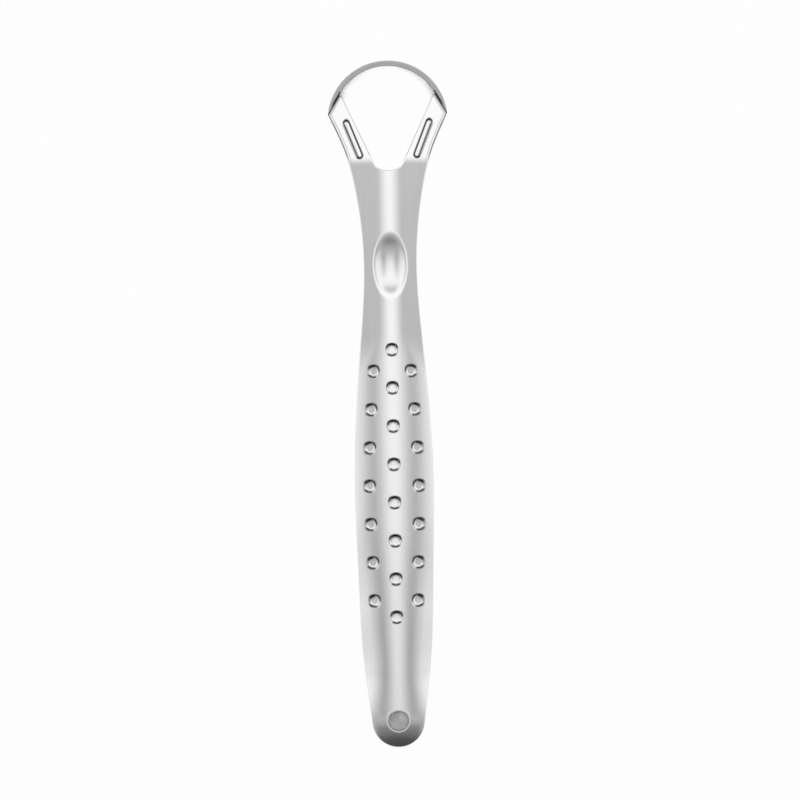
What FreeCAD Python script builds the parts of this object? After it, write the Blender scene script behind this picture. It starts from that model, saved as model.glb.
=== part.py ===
import FreeCAD, Part
import math
import os

# Tongue scraper of stainless sheet: a pressed handle that ends in a fork, a
# scraping strip bent to an arch under the fork tips, and the beads between them.
# It lies thumb side up: X across, Y from the hang hole to the arch, Z up.
# Lengths in millimetres, angles in degrees. While the pieces are made, Y counts
# from the hang hole; at the end all of them move so that the middle is the origin.

# Sheet metal
SHEET = 0.8
STRIP_SHEET = 0.6
STRIP_HEIGHT = 4.0
EDGE_CHAMFER = 0.2

# Side edge of the handle: places along the handle and half widths there
TIP_RADIUS = 6.1
LOWER_PLACE = 15.8
LOWER_HALF_WIDTH = 7.95
GRIP_PLACE = 34.5
GRIP_HALF_WIDTH = 8.72
BELLY_PLACE = 54.2
BELLY_HALF_WIDTH = 9.2
SHOULDER_PLACE = 86.9
SHOULDER_HALF_WIDTH = 7.4
NECK_PLACE = 106.6
NECK_HALF_WIDTH = 6.2
ROOT_FROM_ARCH = 15.4
ROOT_HALF_WIDTH = 8.0
SPREAD_FROM_ARCH = 6.9
SPREAD_HALF_WIDTH = 10.2

# Hang hole
HANG_HOLE_D = 4.6

# Rounded cross-section: crest radius and slope of the flanks, on grip and neck
GRIP_CREST_RADIUS = 16.0
GRIP_FLANK_ANGLE = 36.0
GRIP_ZONE_END = 88.5
NECK_CREST_RADIUS = 14.0
NECK_FLANK_ANGLE = 12.0
NECK_ZONE_START = 99.0

# The tip is drawn down to a ball-shaped dome of the same radius as the grip
DOME_PLACE = 2.5

# Arch of the head
ARCH_PLACE = 139.9
ARCH_TOP_RADIUS = 12.7
STRIP_FLARE = 10.5
SEAM_START_ANGLE = 59.6
SEAM_END_ANGLE = 83.4

# Fork: crotch, bend and slope of the arms
CROTCH_FROM_ARCH = 11.7
CROTCH_HALF_WIDTH = 2.9
CROTCH_SAG = 0.85
BEND_FROM_ARCH = 10.3
BEND_RADIUS = 10.0
ARM_SLOPE = 14.0
CORNER_RADIUS = 0.4

# Weld bead under each arm tip
BEAD_LEG = 0.7
BEAD_START_ANGLE = 66.0
BEAD_END_ANGLE = 82.0

# Thumb rest
THUMB_PLACE = 106.4
THUMB_LENGTH = 15.2
THUMB_WIDTH = 8.0
THUMB_DEPTH = 1.6

# Press dots: one row down the middle and one along each side
DOT_D = 2.8
DOT_FLOOR_D = 1.7
DOT_DEPTH = 0.45
DOT_PITCH = 8.9
DOT_START = 24.2
DOT_COUNT = 8
SIDE_DOT_LEAD = 3.9
SIDE_DOT_COUNT = 7
SIDE_DOT_MARGIN = 3.5

# Stiffening groove on each arm
GROOVE_LENGTH = 10.0
GROOVE_WIDTH = 1.9
GROOVE_DEPTH = 0.6
GROOVE_FROM_AXIS = 8.15
GROOVE_FROM_ARCH = 4.3
GROOVE_TURN = 21.5

# Working room of the tools that trim and cut
ROOM = 2.0
SKY = 30.0
half_share = 0.5
change_shares = (0.0, 0.5, 1.0)
bisection_steps = 60

# Places that follow from the arch
BEND_PLACE = ARCH_PLACE - BEND_FROM_ARCH
CROTCH_PLACE = ARCH_PLACE - CROTCH_FROM_ARCH
ROOT_PLACE = ARCH_PLACE - ROOT_FROM_ARCH
SPREAD_PLACE = ARCH_PLACE - SPREAD_FROM_ARCH

V = FreeCAD.Vector
X_AXIS = V(1, 0, 0)
Z_AXIS = V(0, 0, 1)


def rad(degrees):
    return math.radians(degrees)


def blend(share, first, last):
    """Value that eases from first to last while share runs from 0 to 1."""
    return first + (last - first) * (1 - math.cos(math.pi * share)) * half_share


def bisect(rises, low, high):
    """Place between low and high where the test stops being true."""
    for step in range(bisection_steps):
        middle = (low + high) * half_share
        if rises(middle):
            low = middle
        else:
            high = middle
    return low


# Heights. The scraping edge and the end of the tip both touch the table.

def strip_slant():
    """Length of the slanting strip from its top edge down to its scraping edge."""
    flare = rad(STRIP_FLARE)
    return (STRIP_HEIGHT + EDGE_CHAMFER * math.sin(flare)) / math.cos(flare)


def arch_outer_radius():
    flare = rad(STRIP_FLARE)
    spread = (strip_slant() - EDGE_CHAMFER) * math.sin(flare)
    return ARCH_TOP_RADIUS + STRIP_SHEET * math.cos(flare) + spread


def seam_point(radius, angle):
    return V(radius * math.sin(rad(angle)), ARCH_PLACE + radius * math.cos(rad(angle)), 0)


def section_drop(x, radius, angle):
    """Fall of the rounded section from its crest at a distance x from the axis."""
    turn = radius * math.sin(angle)
    if x < turn:
        return radius - math.sqrt(radius ** 2 - x ** 2)
    return radius * (1 - math.cos(angle)) + (x - turn) * math.tan(angle)


def arm_fall(x, y, offset):
    """Fall of an arm face below the crest at the end of the bend."""
    slope = rad(ARM_SLOPE)
    flank = rad(NECK_FLANK_ANGLE)
    start = BEND_PLACE + BEND_RADIUS * math.sin(slope)
    drop = section_drop(x, NECK_CREST_RADIUS, flank) + offset / math.cos(flank)
    return math.tan(slope) * (y - start) + drop / math.cos(slope)


def bend_height():
    """Crest height where the bend starts: the arm tips meet the strip's top edge."""
    tip = seam_point(ARCH_TOP_RADIUS, SEAM_START_ANGLE)
    arm_start = STRIP_HEIGHT + arm_fall(tip.x, tip.y, SHEET)
    return arm_start + BEND_RADIUS * (1 - math.cos(rad(ARM_SLOPE)))


def crest_point(place, radius):
    """Crest of the long arch, which is level at the bend: place, height and lean."""
    lean = math.asin((BEND_PLACE - place) / radius)
    return V(0, place, bend_height() - radius * (1 - math.cos(lean))), lean


def dome_axis(radius):
    """Axis about which the tip's dome turns, and the lean where it starts."""
    point, lean = crest_point(DOME_PLACE, radius)
    inward = V(0, math.sin(lean), -math.cos(lean))
    return point + inward * GRIP_CREST_RADIUS, lean


def tip_height(radius):
    """Height of the lower face at the end of the tip for a long arch of this radius."""
    axis = dome_axis(radius)[0]
    inner = GRIP_CREST_RADIUS - SHEET
    return axis.z + math.sqrt(inner ** 2 - (axis.y + TIP_RADIUS) ** 2)


def long_radius():
    """Radius of the long arch that sets the end of the tip on the table."""
    reach = BEND_PLACE + TIP_RADIUS
    return bisect(lambda radius: tip_height(radius) < 0, reach + reach, reach * reach)


# Pressed shape before trimming

def layer_section(radius, angle, upper, lower):
    """Closed profile at the bend between two depths below the outer face."""
    axis = bend_height() - radius
    reach = arch_outer_radius() + ROOM
    run = (reach - radius * math.sin(angle)) / math.cos(angle)

    def arc_and_flanks(depth):
        r = radius - depth
        left = V(-r * math.sin(angle), BEND_PLACE, axis + r * math.cos(angle))
        right = V(r * math.sin(angle), BEND_PLACE, axis + r * math.cos(angle))
        top = V(0, BEND_PLACE, axis + r)
        far_left = left + V(-run * math.cos(angle), 0, -run * math.sin(angle))
        far_right = right + V(run * math.cos(angle), 0, -run * math.sin(angle))
        return far_left, left, top, right, far_right

    a = arc_and_flanks(upper)
    b = arc_and_flanks(lower)
    edges = [
        Part.makeLine(a[0], a[1]),
        Part.Arc(a[1], a[2], a[3]).toShape(),
        Part.makeLine(a[3], a[4]),
        Part.makeLine(a[4], b[4]),
        Part.makeLine(b[4], b[3]),
        Part.Arc(b[3], b[2], b[1]).toShape(),
        Part.makeLine(b[1], b[0]),
        Part.makeLine(b[0], a[0]),
    ]
    return Part.Wire(edges)


def neck_section(upper, lower):
    return layer_section(NECK_CREST_RADIUS, rad(NECK_FLANK_ANGLE), upper, lower)


def arm_layer(upper, lower):
    """Fork part of a pressed layer: the bend and the sloping plane of the arms."""
    face = Part.Face(neck_section(upper, lower))
    pivot = V(0, BEND_PLACE, bend_height() - BEND_RADIUS)
    bend = face.revolve(pivot, X_AXIS, -ARM_SLOPE)
    arm_face = face.copy()
    arm_face.rotate(pivot, X_AXIS, -ARM_SLOPE)
    slope = rad(ARM_SLOPE)
    length = ARCH_PLACE + arch_outer_radius() - BEND_PLACE
    arms = arm_face.extrude(V(0, length * math.cos(slope), -length * math.sin(slope)))
    return bend, arms


def pressed_layer(upper, lower):
    """Neck, change of section, grip and dome turned about long axes, and the fork."""
    radius = long_radius()
    pivot = V(0, BEND_PLACE, bend_height() - radius)
    leans = [math.degrees(crest_point(place, radius)[1])
             for place in (NECK_ZONE_START, GRIP_ZONE_END, DOME_PLACE)]
    neck = Part.Face(neck_section(upper, lower)).revolve(pivot, X_AXIS, leans[0])
    wires = []
    for share in change_shares:
        crest = blend(share, NECK_CREST_RADIUS, GRIP_CREST_RADIUS)
        flank = rad(blend(share, NECK_FLANK_ANGLE, GRIP_FLANK_ANGLE))
        wire = layer_section(crest, flank, upper, lower)
        wire.rotate(pivot, X_AXIS, leans[0] + (leans[1] - leans[0]) * share)
        wires.append(wire)
    change = Part.makeLoft(wires, True, False)
    grip_face = Part.Face(wires[-1])
    grip = grip_face.revolve(pivot, X_AXIS, leans[2] - leans[1])
    grip_face.rotate(pivot, X_AXIS, leans[2] - leans[1])
    axis, lean = dome_axis(radius)
    end = math.asin((axis.y + TIP_RADIUS) / (GRIP_CREST_RADIUS - SHEET))
    turn = math.degrees(end - lean)
    dome = grip_face.revolve(axis, X_AXIS, turn + turn * half_share)
    bend, arms = arm_layer(upper, lower)
    return dome.fuse([grip, change, neck, bend, arms])


# Plan of the handle

def side_curve():
    """Right side edge from the tip's round end to the outer corner of the arm."""
    lean = math.atan((LOWER_HALF_WIDTH - TIP_RADIUS) / LOWER_PLACE)
    corner = seam_point(arch_outer_radius(), SEAM_END_ANGLE)
    points = [
        V(TIP_RADIUS * math.cos(lean), -TIP_RADIUS * math.sin(lean), 0),
        V(LOWER_HALF_WIDTH, LOWER_PLACE, 0),
        V(GRIP_HALF_WIDTH, GRIP_PLACE, 0),
        V(BELLY_HALF_WIDTH, BELLY_PLACE, 0),
        V(SHOULDER_HALF_WIDTH, SHOULDER_PLACE, 0),
        V(NECK_HALF_WIDTH, NECK_PLACE, 0),
        V(ROOT_HALF_WIDTH, ROOT_PLACE, 0),
        V(SPREAD_HALF_WIDTH, SPREAD_PLACE, 0),
        corner,
    ]
    start = V(math.sin(lean), math.cos(lean), 0)
    finish = corner - V(SPREAD_HALF_WIDTH, SPREAD_PLACE, 0)
    curve = Part.BSplineCurve()
    curve.interpolate(Points=points, InitialTangent=start, FinalTangent=finish)
    return curve


def half_width(curve, y):
    first, last = curve.FirstParameter, curve.LastParameter
    return curve.value(bisect(lambda at: curve.value(at).y < y, first, last)).x


def plan_prism(curve):
    """Upright block with the outline of the handle, to trim the pressed layer."""
    foot = curve.value(curve.FirstParameter)
    outer = curve.value(curve.LastParameter)
    inner = seam_point(ARCH_TOP_RADIUS, SEAM_START_ANGLE)
    crotch = V(CROTCH_HALF_WIDTH, CROTCH_PLACE + CROTCH_SAG, 0)
    across = V(-crotch.x, crotch.y, 0)
    bottom = V(0, -TIP_RADIUS, 0)
    right = [curve.toShape(), Part.makeLine(outer, inner), Part.makeLine(inner, crotch)]
    left = [edge.mirror(V(0, 0, 0), X_AXIS) for edge in right]
    ends = [
        Part.Arc(V(-foot.x, foot.y, 0), bottom, foot).toShape(),
        Part.Arc(crotch, V(0, CROTCH_PLACE, 0), across).toShape(),
    ]
    edges = Part.__sortEdges__(right + left + ends)
    block = Part.Face(Part.Wire(edges)).extrude(V(0, 0, SKY))
    corners = [outer, inner, crotch]
    upright = []
    for edge in block.Edges:
        a, b = edge.Vertexes[0].Point, edge.Vertexes[-1].Point
        for corner in corners:
            off = math.hypot(abs(a.x) - corner.x, a.y - corner.y)
            if abs(a.z - b.z) > ROOM and off < SHEET * half_share:
                upright.append(edge)
    block = block.makeFillet(CORNER_RADIUS, upright)
    block.translate(V(0, 0, -ROOM))
    return block


# Features pressed into the sheet. The thumb rest and the grooves stand out below
# with an even wall; the shallow dots are coined and leave the lower face smooth.

def grip_frame(x, y):
    """Point on the outer face of the grip and the direction straight out of it."""
    radius = long_radius()
    tilt = math.asin(x / GRIP_CREST_RADIUS)
    drop = section_drop(abs(x), GRIP_CREST_RADIUS, rad(GRIP_FLANK_ANGLE))
    lean = math.asin((BEND_PLACE - y) / (radius - drop))
    height = bend_height() - radius + (radius - drop) * math.cos(lean)
    out = V(math.sin(tilt), -math.cos(tilt) * math.sin(lean), math.cos(tilt) * math.cos(lean))
    return V(x, y, height), out


def hole_frame():
    """Point on the dome's crest over the hang hole and the direction out of it."""
    axis = dome_axis(long_radius())[0]
    lean = math.asin(axis.y / GRIP_CREST_RADIUS)
    out = V(0, -math.sin(lean), math.cos(lean))
    return axis + out * GRIP_CREST_RADIUS, out


def arm_frame(x, y):
    """Point on the outer face of an arm and the direction straight out of it."""
    slope = rad(ARM_SLOPE)
    flank = math.copysign(rad(NECK_FLANK_ANGLE), x)
    arm_start = bend_height() - BEND_RADIUS * (1 - math.cos(slope))
    out = V(math.sin(flank), math.cos(flank) * math.sin(slope), math.cos(flank) * math.cos(slope))
    return V(x, y, arm_start - arm_fall(abs(x), y, 0)), out


def dot_places(curve):
    middle = [(0.0, DOT_START + DOT_PITCH * row) for row in range(DOT_COUNT)]
    sides = []
    for row in range(SIDE_DOT_COUNT):
        y = DOT_START + SIDE_DOT_LEAD + DOT_PITCH * row
        x = half_width(curve, y) - SIDE_DOT_MARGIN
        sides += [(-x, y), (x, y)]
    return middle + sides


def dot_tool(place):
    """Blunt cone that leaves a round dimple with a flat floor in the grip."""
    point, out = grip_frame(*place)
    top = DOT_D * half_share
    floor = DOT_FLOOR_D * half_share
    spread = (top - floor) / DOT_DEPTH
    above = DOT_DEPTH
    base = point - out * DOT_DEPTH
    return Part.makeCone(floor, top + above * spread, DOT_DEPTH + above, base, out)


def bowl(extra):
    """Round-edged wheel that dips into the crest of the neck, thicker by extra."""
    half_long = THUMB_LENGTH * half_share
    half_wide = THUMB_WIDTH * half_share
    fall = section_drop(half_wide, NECK_CREST_RADIUS, rad(NECK_FLANK_ANGLE))
    side = THUMB_DEPTH - fall
    wheel = (half_long ** 2 / THUMB_DEPTH + THUMB_DEPTH) * half_share
    edge = (half_wide ** 2 / side + side) * half_share
    crest, lean = crest_point(THUMB_PLACE, long_radius())
    out = V(0, -math.sin(lean), math.cos(lean))
    middle = crest + out * (wheel - THUMB_DEPTH)
    return Part.makeTorus(wheel - edge, edge + extra, middle, X_AXIS)


def groove_tool(side, extra):
    """Round-ended bar sunk into an arm, grown all round by extra."""
    half_wide = GROOVE_WIDTH * half_share
    radius = (half_wide ** 2 + GROOVE_DEPTH ** 2) / (GROOVE_DEPTH + GROOVE_DEPTH)
    lift = radius - GROOVE_DEPTH
    run = GROOVE_LENGTH * half_share - half_wide
    ends = []
    for way in (-run, run):
        x = GROOVE_FROM_AXIS + way * math.sin(rad(GROOVE_TURN))
        y = ARCH_PLACE - GROOVE_FROM_ARCH + way * math.cos(rad(GROOVE_TURN))
        point, out = arm_frame(side * x, y)
        ends.append(point + out * lift)
    along = ends[1] - ends[0]
    bar = Part.makeCylinder(radius + extra, along.Length, ends[0], along)
    balls = [Part.makeSphere(radius + extra, end) for end in ends]
    return bar.fuse(balls)


# The pieces

def make_handle():
    curve = side_curve()
    sheet = pressed_layer(0.0, SHEET).common(plan_prism(curve))
    under = pressed_layer(SHEET * half_share, SHEET + ROOM)
    dots = [dot_tool(place) for place in dot_places(curve)]
    grooves = [groove_tool(side, 0.0) for side in (-1, 1)]
    bosses = [groove_tool(side, SHEET).common(under) for side in (-1, 1)]
    bosses.append(bowl(SHEET).common(under))
    hollows = grooves + dots + [bowl(0.0)]
    point, out = hole_frame()
    hole = Part.makeCylinder(HANG_HOLE_D * half_share, ROOM + ROOM, point - out * ROOM, out)
    return sheet.fuse(bosses).cut(hollows + [hole]).removeSplitter()


def strip_profile(top):
    """Slanting strip with both corners of its scraping edge broken."""
    flare = rad(STRIP_FLARE)
    down = V(0, math.sin(flare), -math.cos(flare))
    out = V(0, math.cos(flare), math.sin(flare))
    inner = V(0, ARCH_PLACE + ARCH_TOP_RADIUS, STRIP_HEIGHT)
    inner_top = inner - down * ((top - STRIP_HEIGHT) / math.cos(flare))
    outer_top = inner_top + V(0, STRIP_SHEET / math.cos(flare), 0)
    inner_end = inner + down * strip_slant()
    outer_end = inner_end + out * STRIP_SHEET
    points = [
        inner_top,
        inner_end - down * EDGE_CHAMFER,
        inner_end + out * EDGE_CHAMFER,
        outer_end - out * EDGE_CHAMFER,
        outer_end - down * EDGE_CHAMFER,
        outer_top,
        inner_top,
    ]
    return Part.Face(Part.makePolygon(points))


def swing(profile, start, end):
    """Turn a profile about the arch's axis; angles count from the head towards +X."""
    pivot = V(0, ARCH_PLACE, 0)
    turned = profile.copy()
    turned.rotate(pivot, Z_AXIS, -start)
    return turned.revolve(pivot, Z_AXIS, start - end)


def make_band(over_arms):
    """The strip: free arch, and taller ends cut to lie against the arm tips."""
    arch = swing(strip_profile(STRIP_HEIGHT), -SEAM_START_ANGLE, SEAM_START_ANGLE)
    tall = strip_profile(STRIP_HEIGHT + ROOM)
    right = swing(tall, SEAM_START_ANGLE, SEAM_END_ANGLE).cut(over_arms)
    left = swing(tall, -SEAM_END_ANGLE, -SEAM_START_ANGLE).cut(over_arms)
    return arch.fuse([right, left]).removeSplitter()


def make_beads(over_arms, band):
    """Weld in the inside corner between the strip and each arm tip."""
    corner = V(0, ARCH_PLACE + ARCH_TOP_RADIUS, STRIP_HEIGHT)
    points = [
        corner + V(0, STRIP_SHEET * half_share, -BEAD_LEG - STRIP_SHEET * half_share),
        corner + V(0, STRIP_SHEET * half_share, ROOM),
        corner + V(0, -BEAD_LEG - ROOM, ROOM),
    ]
    profile = Part.Face(Part.makePolygon(points + points[:1]))
    beads = []
    for angles in ((BEAD_START_ANGLE, BEAD_END_ANGLE), (-BEAD_END_ANGLE, -BEAD_START_ANGLE)):
        bead = swing(profile, *angles).cut([over_arms, band])
        beads.append(min(bead.Solids, key=lambda solid: solid.CenterOfMass.sub(corner).y))
    return Part.makeCompound(beads)


def main():
    os.makedirs("parts", exist_ok=True)
    handle = make_handle()
    over_arms = arm_layer(-SKY, SHEET)[1]
    band = make_band(over_arms)
    beads = make_beads(over_arms, band)
    middle = (ARCH_PLACE + arch_outer_radius() - TIP_RADIUS) * half_share
    nodes = {"handle": handle, "scraper_band": band, "weld_beads": beads}
    for name, shape in nodes.items():
        shape.translate(V(0, -middle, 0))
        shape.exportStep("parts/" + name + ".step")


main()
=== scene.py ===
import math

import bmesh
import bpy
import numpy as np
from mathutils import Matrix, Vector
from mathutils.kdtree import KDTree


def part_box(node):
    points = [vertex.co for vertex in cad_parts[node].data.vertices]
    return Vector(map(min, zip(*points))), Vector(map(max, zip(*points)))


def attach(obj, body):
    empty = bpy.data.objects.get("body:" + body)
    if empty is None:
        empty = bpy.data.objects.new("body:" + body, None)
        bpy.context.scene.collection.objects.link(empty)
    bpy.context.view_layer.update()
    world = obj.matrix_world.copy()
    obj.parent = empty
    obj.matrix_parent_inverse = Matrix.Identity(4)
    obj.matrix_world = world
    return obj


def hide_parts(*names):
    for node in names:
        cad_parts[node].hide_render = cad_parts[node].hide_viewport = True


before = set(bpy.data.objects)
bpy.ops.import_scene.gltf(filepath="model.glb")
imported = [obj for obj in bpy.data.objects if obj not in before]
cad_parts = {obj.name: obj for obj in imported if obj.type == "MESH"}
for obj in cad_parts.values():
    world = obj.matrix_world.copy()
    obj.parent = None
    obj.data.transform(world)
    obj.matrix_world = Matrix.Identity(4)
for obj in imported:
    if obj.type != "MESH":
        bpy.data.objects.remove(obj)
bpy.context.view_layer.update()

bl_info = {
    "name": "Tongue scraper",
    "version": (1, 0, 0),
    "blender": (4, 5, 0),
    "location": "3D View > Sidebar > Tongue scraper",
    "description": "Pressed steel tongue scraper: handle, scraping strip, weld beads and studio",
    "category": "Object",
}

MM = 0.001
BODY = "root"

# Side edge of the handle: place along the handle from the hang hole, half width
TIP_RADIUS = 6.1 * MM
SIDE_STATIONS = (
    (15.8 * MM, 7.95 * MM),
    (34.5 * MM, 8.72 * MM),
    (54.2 * MM, 9.2 * MM),
    (86.9 * MM, 7.4 * MM),
    (106.6 * MM, 6.2 * MM),
    (124.5 * MM, 8.0 * MM),
    (133.0 * MM, 10.2 * MM),
)

# Rounded section of grip and neck, and where one changes to the other
GRIP_CREST = 16.0 * MM
GRIP_FLANK = math.radians(36.0)
GRIP_END = 64.0 * MM
NECK_CREST = 14.0 * MM
NECK_FLANK = math.radians(12.0)
NECK_START = 93.0 * MM
DOME_PLACE = 2.5 * MM

# The section is flatter along the dots and tighter towards the tip: places where
# each change starts, is full, is still full and ends, and the change of radius
FIELD_PLACES = (25.0 * MM, 48.0 * MM, 83.0 * MM, 91.0 * MM)
FIELD_CHANGE = 6.0 * MM
TAIL_PLACES = (2.5 * MM, 11.0 * MM, 13.0 * MM, 27.0 * MM)
TAIL_CHANGE = -2.4 * MM

# Arch, fork and bend
ARCH_PLACE = 139.9 * MM
ARCH_TOP_RADIUS = 12.7 * MM
SEAM_START = math.radians(59.6)
SEAM_END = math.radians(83.4)
CROTCH_PLACE = 128.2 * MM
CROTCH_HALF_WIDTH = 2.9 * MM
CROTCH_SAG = 0.85 * MM
FORK_PLACE = CROTCH_PLACE + CROTCH_SAG
BEND_PLACE = 129.6 * MM
BEND_RADIUS = 10.0 * MM
ARM_SLOPE = math.radians(14.0)
ARM_PLACE = BEND_PLACE + BEND_RADIUS * math.sin(ARM_SLOPE)
CORNER_PULL = 0.45 * MM  # how far the inner corner of an arm's tip is rounded back
CORNER_REACH = 0.8 * MM
GROOVE_SPREAD = 0.4  # widening of a groove's underside, as a share of the gauge

# Working values of the height field
LONG_RADIUS_RANGE = (0.3, 20.0)
HALVINGS = 60
LEAN_ROUNDS = 3
SLOPE_STEP = 0.02 * MM
FAR_ABOVE = 1.0
SKIN = 0.001 * MM  # how far the crest lies inside the solid's

# Rows and columns of the handle's grid
COLUMNS = 64
HALF = COLUMNS // 2
TIP_ROWS = COLUMNS
BODY_ROWS = 408
ARM_ROWS = 72
HOLE_RING = 12
TIP_ZONE_END = 6.6 * MM
ROW_GAP = (FORK_PLACE - TIP_ZONE_END) / BODY_ROWS
CROTCH_COLUMN = 10
CROTCH_APPROACH = 11.0 * MM  # length over which the columns draw in to the crotch
ARM_COLUMNS = HALF - CROTCH_COLUMN
GROOVE_COLUMNS = (3, 18)  # columns of an arm between which the groove lies
GROOVE_BAND = 1.15 * MM  # half the width that these columns take
GATHER_PLACES = (0.0, 0.1, 0.78, 0.94)  # shares of an arm's length, as for the section

# Rings of the grid round a press dot: radius as a share of the dot's, and how
# firmly the ring keeps to that circle
DOT_RING_SHARES = (0.0, 0.3, 0.52, 0.68, 0.81, 0.94, 1.03, 1.14, 1.33)
DOT_RING_HOLD = (1.0, 1.0, 1.0, 1.0, 1.0, 1.0, 1.0, 0.7, 0.35)

# Painted shade in the crease of a dot: share on each ring for the upper arc, the lower arc and
# all round, and the heights in the ring at which the two arcs start and are full
DOT_SHADES = (
    (0.0, 0.0, 0.0, 0.0, 0.35, 1.0, 1.0, 0.0, 0.0),
    (0.0, 0.0, 0.0, 0.0, 0.0, 1.0, 0.95, 0.0, 0.0),
    (0.0, 0.0, 0.0, 0.0, 0.0, 0.4, 0.3, 0.0, 0.0),
)
DOT_UPPER_ARC = (-0.1, 0.4)
DOT_LOWER_ARC = (0.45, 0.85)
DOT_SHADE_TURN = math.radians(-18.0)

# Marks that the handle's vertices carry: finish, painted shade and a painted highlight
GRID_LAYERS = ("column", "row")
FINISH_LAYERS = ("edge_polish", "pressed", "crease", "bowl", "ground")
BOWL_RIM = 0.25  # share of the thumb rest's depth at which its finish is full
# Painted shade on the ring at the hang hole's edge
HOLE_EDGE_SHADE = 0.85
HIGHLIGHT_RINGS = (1, 2)  # rings of the grid round the hang hole that carry a painted highlight and more roughness

# Edges, strip and beads
EDGE_ANGLE = math.radians(50.0)
HANDLE_EDGE_SEGMENTS = 3
STRIP_EDGE_SEGMENTS = 2
NOSE_ROUNDING = 0.46  # share of the strip's gauge
NOSE_SEGMENTS = 6
STRIP_WALL_CUTS = 6
STRIP_STEPS = 140
STRIP_LIFT = math.radians(1.2)  # arc over which the strip's top rises to the arms
TOP_SLACK = 0.001 * MM
BEAD_SIDES = 16
BEAD_STEPS = 64
BEAD_TAPER_POWER = 6
BEAD_END_SHARE = 0.05


def smooth_max(a, b, k):
    """The greater of two fields, rounded off where they come within k."""
    near = np.maximum(k - np.abs(a - b), 0.0) / k
    return np.maximum(a, b) + near * near * k / 4


def smooth_min(a, b, k):
    """The lesser of two fields, rounded off in the same way."""
    return -smooth_max(-a, -b, k)


def rise(at, start, full):
    """Smooth step of a field, 0 at start and 1 at full."""
    share = np.clip((at - start) / (full - start), 0.0, 1.0)
    return share * share * (3.0 - 2.0 * share)


def plateau(at, places):
    """Rises from 0 to 1 between the first two places and falls between the last two."""
    start, full, still, end = places
    return rise(at, start, full) * rise(at, end, still)


def clamped_spline(places, values, first_slope, last_slope):
    """Function of the smooth curve through the stations with given end slopes."""
    places, values = np.array(places), np.array(values)
    gap = np.diff(places)
    count = len(places)
    system = np.zeros((count, count))
    right = np.zeros(count)
    system[0, 0] = system[-1, -1] = 1.0
    right[0], right[-1] = first_slope, last_slope
    for k in range(1, count - 1):
        a, b = gap[k - 1], gap[k]
        system[k, k - 1:k + 2] = (1 / a, 2 / a + 2 / b, 1 / b)
        climb = (values[k] - values[k - 1]) / a ** 2 + (values[k + 1] - values[k]) / b ** 2
        right[k] = 3 * climb
    slopes = np.linalg.solve(system, right)

    def curve(at):
        at = np.asarray(at, float)
        k = np.clip(np.searchsorted(places, at) - 1, 0, count - 2)
        t = (at - places[k]) / gap[k]
        start, end = values[k], values[k + 1]
        lead, tail = slopes[k] * gap[k], slopes[k + 1] * gap[k]
        return (start * (1 + 2 * t) * (1 - t) ** 2 + lead * t * (1 - t) ** 2
                + end * t * t * (3 - 2 * t) + tail * t * t * (t - 1))

    return curve


def section_drop(x, radius, flank, depth):
    """Fall of a face that lies depth under the outer face of a rounded section."""
    inner = radius - depth
    turn = inner * np.sin(flank)
    x = np.abs(x)
    arc = inner - np.sqrt(np.maximum(inner ** 2 - np.minimum(x, turn) ** 2, 0.0))
    return depth + arc + np.maximum(x - turn, 0.0) * np.tan(flank)


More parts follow.
